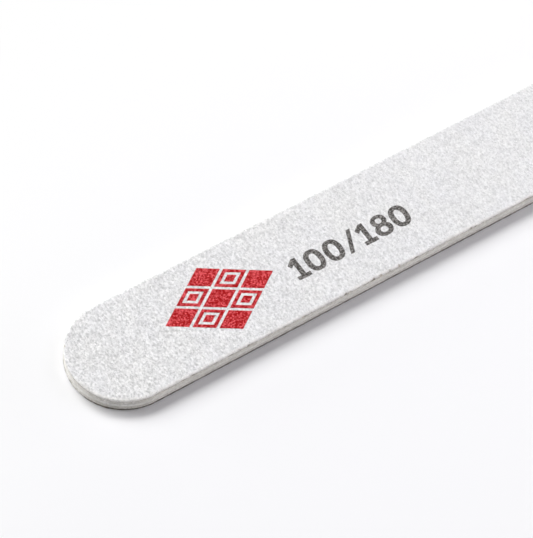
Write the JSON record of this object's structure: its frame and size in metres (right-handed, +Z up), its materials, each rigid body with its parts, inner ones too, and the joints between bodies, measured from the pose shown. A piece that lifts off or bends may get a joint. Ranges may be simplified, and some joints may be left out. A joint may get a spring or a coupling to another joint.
{
  "type": "nail file",
  "caption": "Straight double-sided nail file with half-round ends: abrasive faces on paper, foam cushions and a stiff plastic core, glued in layers.",
  "frame": {"origin": "middle of the resting face, the flat of the 180 grit side", "axes": "+X along the length, away from the printed end; +Y across the width; +Z up, out of the 100 grit face"},
  "size_m": [0.178, 0.02, 0.0032],
  "materials": {
    "abrasive_coarse": "matte",
    "abrasive_fine": "matte",
    "backing_paper": "matte",
    "glue_film": "satin",
    "foam": "matte",
    "core": "satin"
  },
  "bodies": {
    "root": {"abrasive_coat_100": "abrasive_coarse", "backing_paper_100": "backing_paper", "sheet_glue_100": "glue_film", "foam_cushion_100": "foam", "core_glue_100": "glue_film", "plastic_core": "core", "core_glue_180": "glue_film", "foam_cushion_180": "foam", "sheet_glue_180": "glue_film", "backing_paper_180": "backing_paper", "abrasive_coat_180": "abrasive_fine"}
  },
  "joints": []
}
